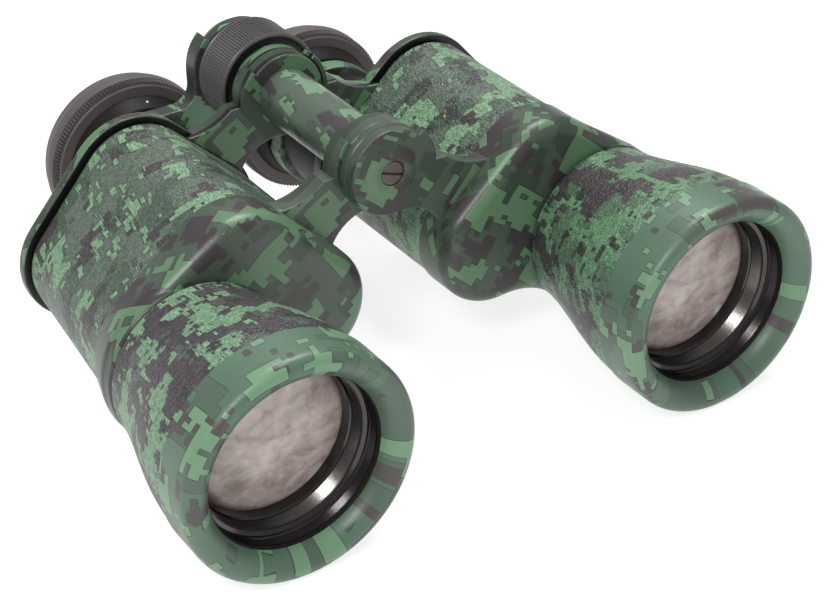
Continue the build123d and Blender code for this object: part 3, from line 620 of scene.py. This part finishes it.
def optical_glass(name, tint, roughness):
    """Clear glass with a faint tint and haze."""
    material = bpy.data.materials.new(name)
    material.use_nodes = True
    tree = material.node_tree
    shader = tree.nodes["Principled BSDF"]
    shader.inputs["Transmission Weight"].default_value = 1.0
    shader.inputs["IOR"].default_value = 1.57
    point = tree.nodes.new("ShaderNodeTexCoord").outputs["Object"]
    haze = add(tree, "ShaderNodeTexNoise", {"Vector": point, "Scale": 300.0, "Detail": 2.0}).outputs[0]
    colour = blend_colours(tree, haze, tint, [c * 0.94 for c in tint])
    tree.links.new(colour, shader.inputs["Base Color"])
    polish = add(tree, "ShaderNodeMapRange", {0: haze, 3: roughness, 4: roughness + 0.03}).outputs[0]
    tree.links.new(polish, shader.inputs["Roughness"])
    return material


glass = optical_glass("optical glass", (0.86, 0.92, 0.9, 1.0), 0.01)
for half in ("left", "right"):
    dress([half + "_flint_lens", half + "_field_lens"], glass)

# ------------------------------------------------------------------------------------------------
# Prisms on their shelf: two blocks of ground glass in each half, held on a cast alloy plate by
# sprung steel straps and sealed in the housing.

for half in ("left", "right"):
    dress([half + "_front_prism", half + "_rear_prism"], glass)
bare_alloy = plain_finish("bare cast alloy", paint(190, 191, 194), 0.45, metallic=1.0)
spring_steel = plain_finish("spring steel", paint(170, 170, 175), 0.25, metallic=1.0)
for half in ("left", "right"):
    dress([half + "_prism_shelf"], bare_alloy)
    dress([half + "_prism_clips"], spring_steel)

# ------------------------------------------------------------------------------------------------
# Hinge: a steel axle in the left half's lugs, the right half's tube that turns on it, and a
# slotted screw in the front cap. The tube is smooth and carries the film.

dress(["hinge_tube"], camouflage(
    "hinge tube film", middle_of("hinge_tube"), radius_of("hinge_tube"), paint(84, 98, 86),
    [
        (paint(77, 90, 77), (6.0, 4.0), 60.0, 0.42),
        (bark, (3.0, 2.4), 85.0, 0.36),
        (paint(110, 142, 112), (3.2, 2.6), 80.0, 0.38),
    ],
    turn=20.0, roughness=0.34, seed=83,
))
steel = plain_finish("turned steel", paint(165, 165, 168), 0.28, metallic=1.0)
screw_metal = plain_finish("oxidised screw", paint(112, 98, 96), 0.34, metallic=0.8)
dress(["hinge_axle", "focus_screw"], steel)
dress(["hinge_cap_screw"], screw_metal)

# ------------------------------------------------------------------------------------------------
# Focus wheel: a turned alloy drum on a brass nut, with fine ridges along it for the fingertip
# and a smooth rim at each end.


def ridge_tree():
    """Geometry nodes: straight ridges round a drum, joined to the drum itself."""
    ridge_sides = 8

    tree = bpy.data.node_groups.new("ridges round a drum", "GeometryNodeTree")
    sockets = (
        ("Drum", "Geometry"),
        ("Count", "Int"),
        ("Root Radius", "Float"),
        ("Ridge Width", "Float"),
        ("Ridge Height", "Float"),
        ("Ridge Length", "Float"),
        ("Middle", "Vector"),
        ("Finish", "Material"),
    )
    for label, kind in sockets:
        tree.interface.new_socket(label, in_out="INPUT", socket_type="NodeSocket" + kind)
    tree.interface.new_socket("Drum", in_out="OUTPUT", socket_type="NodeSocketGeometry")
    given = tree.nodes.new("NodeGroupInput").outputs
    bar = add(tree, "GeometryNodeMeshCylinder", {
        "Vertices": ridge_sides, "Radius": 0.5, "Depth": 1.0,
    }).outputs[0]
    size = add(tree, "ShaderNodeCombineXYZ", {
        0: given["Ridge Width"], 1: given["Ridge Height"], 2: given["Ridge Length"],
    }).outputs[0]
    bar = add(tree, "GeometryNodeTransform", {"Geometry": bar, "Scale": size}).outputs[0]
    lift = add(tree, "ShaderNodeCombineXYZ", {2: given["Root Radius"]}).outputs[0]
    lying = add(tree, "GeometryNodeTransform", {
        "Geometry": bar, "Translation": lift, "Rotation": (math.pi / 2, 0.0, 0.0),
    }).outputs[0]
    points = add(tree, "GeometryNodePoints", {"Count": given["Count"]}).outputs[0]
    index = tree.nodes.new("GeometryNodeInputIndex").outputs[0]
    pitch = calc(tree, "DIVIDE", 2 * math.pi, given["Count"])
    turn = add(tree, "ShaderNodeCombineXYZ", {1: calc(tree, "MULTIPLY", index, pitch)}).outputs[0]
    ring = add(tree, "GeometryNodeInstanceOnPoints", {
        "Points": points, "Instance": lying, "Rotation": turn,
    }).outputs[0]
    ring = add(tree, "GeometryNodeTransform", {
        "Geometry": ring, "Translation": given["Middle"],
    }).outputs[0]
    joined = tree.nodes.new("GeometryNodeJoinGeometry")
    tree.links.new(given["Drum"], joined.inputs[0])
    tree.links.new(ring, joined.inputs[0])
    real = add(tree, "GeometryNodeRealizeInstances", {"Geometry": joined.outputs[0]}).outputs[0]
    finished = add(tree, "GeometryNodeSetMaterial", {
        "Geometry": real, "Material": given["Finish"],
    }).outputs[0]
    out = tree.nodes.new("NodeGroupOutput")
    tree.links.new(finished, out.inputs[0])
    return tree


ridges = ridge_tree()


def ridged(drum, values):
    """Runs the ridge nodes on a drum and keeps the result as a plain mesh."""
    modifier = drum.modifiers.new("ridges", "NODES")
    modifier.node_group = ridges
    for item in ridges.interface.items_tree:
        if item.in_out == "INPUT" and item.name in values:
            modifier[item.identifier] = values[item.name]
    evaluated = drum.evaluated_get(bpy.context.evaluated_depsgraph_get())
    mesh = bpy.data.meshes.new_from_object(evaluated)
    drum.modifiers.clear()
    drum.data = mesh
    return drum


wheel_low, wheel_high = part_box("focus_wheel")
wheel_centre = middle_of("focus_wheel")
wheel_radius = radius_of("focus_wheel")
nut_radius = radius_of("focus_nut")
wheel_front = wheel_low.y
wheel_back = wheel_high.y
wheel_steps = 180
wheel_pitch = 0.0009
wheel_ridge_height = 0.0008
wheel_ridge_share = 0.62  # of the pitch
rim_width = 0.0005
rim_round = 0.0004
dish_depth = 0.0035
rim_wall = 0.0014
boss_wall = 0.0020
ridge_root_depth = 0.00045
ridge_root = wheel_radius - ridge_root_depth
wheel_profile = [
    (nut_radius, wheel_front),
    (nut_radius + boss_wall, wheel_front),
    (nut_radius + boss_wall, wheel_front + dish_depth),
    (wheel_radius - rim_wall, wheel_front + dish_depth),
    (wheel_radius - rim_wall, wheel_front + rim_round),
    (wheel_radius - rim_wall + rim_round, wheel_front),
    (wheel_radius - 2 * rim_round, wheel_front),
    (wheel_radius - rim_round * 0.6, wheel_front + rim_round * 0.3),
    (wheel_radius, wheel_front + rim_round),
    (wheel_radius, wheel_front + rim_width),
    (ridge_root, wheel_front + rim_width + rim_round),
    (ridge_root, wheel_back - rim_width - rim_round),
    (wheel_radius, wheel_back - rim_width),
    (wheel_radius, wheel_back - rim_round),
    (wheel_radius - rim_round * 0.6, wheel_back - rim_round * 0.3),
    (wheel_radius - 2 * rim_round, wheel_back),
    (wheel_radius - rim_wall + rim_round, wheel_back),
    (wheel_radius - rim_wall, wheel_back - rim_round),
    (wheel_radius - rim_wall, wheel_back - dish_depth),
    (nut_radius + boss_wall, wheel_back - dish_depth),
    (nut_radius + boss_wall, wheel_back),
    (nut_radius, wheel_back),
]
wheel_metal = plain_finish("ridged wheel alloy", paint(99, 96, 97), 0.36, metallic=0.35, grain=0.00001)
wheel = lathe("focus_wheel_drum", wheel_centre, wheel_profile, wheel_steps)
wheel = ridged(wheel, {
    "Count": round(2 * math.pi * wheel_radius / wheel_pitch),
    "Root Radius": ridge_root,
    "Ridge Width": wheel_pitch * wheel_ridge_share,
    "Ridge Height": wheel_ridge_height,
    "Ridge Length": wheel_back - wheel_front - 2 * rim_width - rim_round,
    "Middle": wheel_centre,
    "Finish": wheel_metal,
})
outward(wheel)
smooth_by_angle(wheel, 40)
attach(wheel, "focus_wheel")
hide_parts("focus_wheel")
brass = plain_finish("turned brass", paint(196, 164, 98), 0.28, metallic=1.0)
dress(["focus_nut"], brass)

# ------------------------------------------------------------------------------------------------
# Bridge: the two arms that carry the eyepieces swing on a black turned hub behind the wheel.
# Both are glossy. The right one is darker, and the left one a paler green.

satin_black = plain_finish("black anodised fittings", paint(22, 21, 22), 0.46, specular=0.18)
dress(["bridge_hub", "bridge_cap"], satin_black)
bridge_layers = [
    (paint(70, 84, 72), (4.0, 3.0), 80.0, 0.42),
    (bark, (3.0, 2.4), 90.0, 0.38),
    (paint(104, 140, 108), (3.0, 2.4), 90.0, 0.40),
]
for half in ("left", "right"):
    dress([half + "_bridge_arm"], camouflage(
        half + " bridge film", middle_of(half + "_bridge_arm"), radius_of(half + "_bridge_arm"),
        paint(92, 104, 94) if half == "left" else paint(58, 66, 60), bridge_layers, turn=30.0,
        roughness=0.30, seed=91 if half == "left" else 97,
    ))

# ------------------------------------------------------------------------------------------------
# Eyepieces: black sleeves screwed in the rear covers, the tubes that slide in them, the lens
# barrels, and a dark collar before each eyecup.

for half in ("left", "right"):
    dress([half + "_eyepiece_sleeve", half + "_eyepiece_tube", half + "_ocular_barrel",
           half + "_lens_spacer"], satin_black)
# The collar's paint is darker than its plastic, as painted shade for its shadowed sides.
collar_plastic_and_shade = plain_finish("dark collar plastic and painted shade", paint(30, 27, 28), 0.50, specular=0.15)
dress(["left_dioptre_collar", "right_dioptre_collar"], collar_plastic_and_shade)

# The setting mark: a dot of white enamel let in to the top of the right collar's sloping face.
centre = middle_of("right_dioptre_collar")
mark_radius = 0.00045
mark_angle = math.radians(79)
mark_from_axis = 0.0214
mark_place = Vector((
    centre.x + mark_from_axis * math.cos(mark_angle),
    centre.y,
    centre.z + mark_from_axis * math.sin(mark_angle),
))
mark_work = bmesh.new()
bmesh.ops.create_uvsphere(
    mark_work, u_segments=16, v_segments=10, radius=mark_radius, matrix=Matrix.Translation(mark_place),
)
mark_mesh = bpy.data.meshes.new("dioptre_mark")
mark_work.to_mesh(mark_mesh)
mark_work.free()
mark = bpy.data.objects.new("dioptre_mark", mark_mesh)
bpy.context.scene.collection.objects.link(mark)
mark_mesh.materials.append(plain_finish("white enamel", paint(232, 230, 224), 0.35, wear=0.03))
mark_mesh.shade_smooth()
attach(mark, "dioptre_ring")


def coated_eye_lens():
    """Dark glass with a polished coating that shines violet."""
    material = bpy.data.materials.new("eye lens coating")
    material.use_nodes = True
    tree = material.node_tree
    shader = tree.nodes["Principled BSDF"]
    shader.inputs["Roughness"].default_value = 0.03
    shader.inputs["Coat Weight"].default_value = 0.8
    shader.inputs["Coat Roughness"].default_value = 0.02
    point = tree.nodes.new("ShaderNodeTexCoord").outputs["Object"]
    cloud = add(tree, "ShaderNodeTexNoise", {"Vector": point, "Scale": 90.0, "Detail": 2.0}).outputs[0]
    colour = blend_colours(tree, cloud, paint(30, 22, 42), paint(46, 36, 58))
    tree.links.new(colour, shader.inputs["Base Color"])
    return material


dress(["left_eye_lens", "right_eye_lens"], coated_eye_lens())

# ------------------------------------------------------------------------------------------------
# Eyecups: hard grey plastic mouldings screwed over the barrels, with a band of fine teeth for
# grip and a smooth dome that rounds in to the lipped mouth.


def arc(start, through, end, steps):
    """Points on the circle through three points, without the first one."""
    (ax, ay), (bx, by), (cx, cy) = start, through, end
    spread = 2 * (ax * (by - cy) + bx * (cy - ay) + cx * (ay - by))
    a2 = ax * ax + ay * ay
    b2 = bx * bx + by * by
    c2 = cx * cx + cy * cy
    ox = (a2 * (by - cy) + b2 * (cy - ay) + c2 * (ay - by)) / spread
    oy = (a2 * (cx - bx) + b2 * (ax - cx) + c2 * (bx - ax)) / spread
    radius = math.hypot(ax - ox, ay - oy)
    first = math.atan2(ay - oy, ax - ox)
    last = math.atan2(cy - oy, cx - ox)
    sweep = (last - first + math.pi) % (2 * math.pi) - math.pi
    points = []
    for step in range(1, steps + 1):
        angle = first + sweep * step / steps
        points.append((ox + radius * math.cos(angle), oy + radius * math.sin(angle)))
    return points


cup_plastic = plain_finish(
    "eyecup plastic", paint(92, 87, 86), 0.50, specular=0.3, grain=0.00001, wear=0.10,
)
cup_steps = 144
tooth_pitch = 0.00115
tooth_height = 0.0022
tooth_share = 0.55  # of the pitch
tooth_root_depth = 0.0013
tooth_band = 0.0032
band_margin = 0.0004
front_round = 0.0004
step_round = 0.0003
screw_gap = 0.00005
for half, body in (("left", "left_eyepiece"), ("right", "dioptre_ring")):
    cup_node = half + "_eyecup"
    low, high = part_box(cup_node)
    centre = middle_of(cup_node)
    outer = radius_of(cup_node)
    front, back = low.y, high.y
    barrel_bore = radius_of(half + "_ocular_barrel") + screw_gap
    barrel_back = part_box(half + "_ocular_barrel")[1].y
    tooth_root = outer - tooth_root_depth
    band_back = front + tooth_band

    # The dome, from the toothed band's edge over the crest to the mouth, as (radius, station).
    step = (outer - step_round, band_back + step_round)
    widest = (outer, front + 2 * tooth_band)
    shoulder = (outer - 0.0011, back - 0.0036)
    above_shoulder = (outer - 0.0020, back - 0.0010)
    crest = (outer - 0.0045, back)
    lip = (outer - 0.0063, back - 0.0008)
    before_lip = ((crest[0] + lip[0]) / 2, back - 0.0002)
    mouth = (outer - 0.0099, back - 0.0058)
    profile = [
        (barrel_bore, front),
        (tooth_root - front_round, front),
        (tooth_root, front + front_round),
        (tooth_root, band_back),
        step,
    ]
    profile += arc(step, widest, shoulder, 6)
    profile += arc(shoulder, above_shoulder, crest, 8)
    profile += arc(crest, before_lip, lip, 4)
    profile += [mouth, (barrel_bore, barrel_back)]
    cup = lathe(half + "_eyecup_moulding", centre, profile, cup_steps)
    cup = ridged(cup, {
        "Count": round(2 * math.pi * outer / tooth_pitch),
        "Root Radius": tooth_root,
        "Ridge Width": tooth_pitch * tooth_share,
        "Ridge Height": tooth_height,
        "Ridge Length": tooth_band - band_margin,
        "Middle": (centre.x, front + (tooth_band + band_margin) / 2, centre.z),
        "Finish": cup_plastic,
    })
    outward(cup)
    smooth_by_angle(cup, 35)
    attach(cup, body)
    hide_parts(cup_node)

# ------------------------------------------------------------------------------------------------
# Studio: a pale floor that runs off out of sight, a big soft light overhead, a softer one at the
# side, and a camera that looks down on the objectives from the front.

low, high = cad_box
span = (high - low).length
floor_gap = 0.0002


def soft_light(name, place, aim, size, power):
    """A round soft light of one size in metres and one power in watts, turned to a point."""
    data = bpy.data.lights.new(name, "AREA")
    data.shape = "DISK"
    data.size = size
    data.energy = power
    light = bpy.data.objects.new(name, data)
    light.location = place
    light.rotation_mode = "QUATERNION"
    light.rotation_quaternion = (Vector(aim) - Vector(place)).to_track_quat("-Z", "Y")
    bpy.context.scene.collection.objects.link(light)


floor_mesh = bpy.data.meshes.new("floor")
reach = 40 * span
floor_corners = [(-reach, -reach, 0), (reach, -reach, 0), (reach, reach, 0), (-reach, reach, 0)]
floor_mesh.from_pydata(floor_corners, [], [(0, 1, 2, 3)])
floor = bpy.data.objects.new("floor", floor_mesh)
floor.location.z = low.z - floor_gap
bpy.context.scene.collection.objects.link(floor)
floor_paint = bpy.data.materials.new("floor paper")
floor_paint.use_nodes = True
floor_shader = floor_paint.node_tree.nodes["Principled BSDF"]
floor_shader.inputs["Base Color"].default_value = (0.34, 0.34, 0.34, 1.0)
floor_shader.inputs["Roughness"].default_value = 0.9
floor_shader.inputs["Emission Color"].default_value = (1.0, 1.0, 1.0, 1.0)
floor_shader.inputs["Emission Strength"].default_value = 0.80
floor_mesh.materials.append(floor_paint)

aim = Vector((0.0, -0.0339, 0.0316))
soft_light("overhead softbox", (0.22, 0.22, 0.85), aim, 0.42, 5.5)
soft_light("side softbox", (-0.53, -0.43, 0.68), aim, 0.27, 4.2)

world = bpy.data.worlds.new("studio")
world.use_nodes = True
backdrop = world.node_tree.nodes["Background"]
backdrop.inputs["Color"].default_value = (1.0, 1.0, 1.0, 1.0)
backdrop.inputs["Strength"].default_value = 0.40
bpy.context.scene.world = world
bpy.context.scene.view_settings.view_transform = "Standard"

heading = math.radians(32.713)
dip = math.radians(31.844)
roll = math.radians(-0.723)
distance = 0.5578
forward = Vector((
    math.sin(heading) * math.cos(dip),
    math.cos(heading) * math.cos(dip),
    -math.sin(dip),
))
camera_data = bpy.data.cameras.new("camera")
camera_data.lens = 86.04
camera_data.sensor_width = 36.0
camera = bpy.data.objects.new("camera", camera_data)
level = forward.to_track_quat("-Z", "Y").to_matrix()
turned = (level @ Matrix.Rotation(roll, 3, "Z")).to_4x4()
camera.matrix_world = Matrix.Translation(aim - forward * distance) @ turned
bpy.context.scene.collection.objects.link(camera)
bpy.context.scene.camera = camera
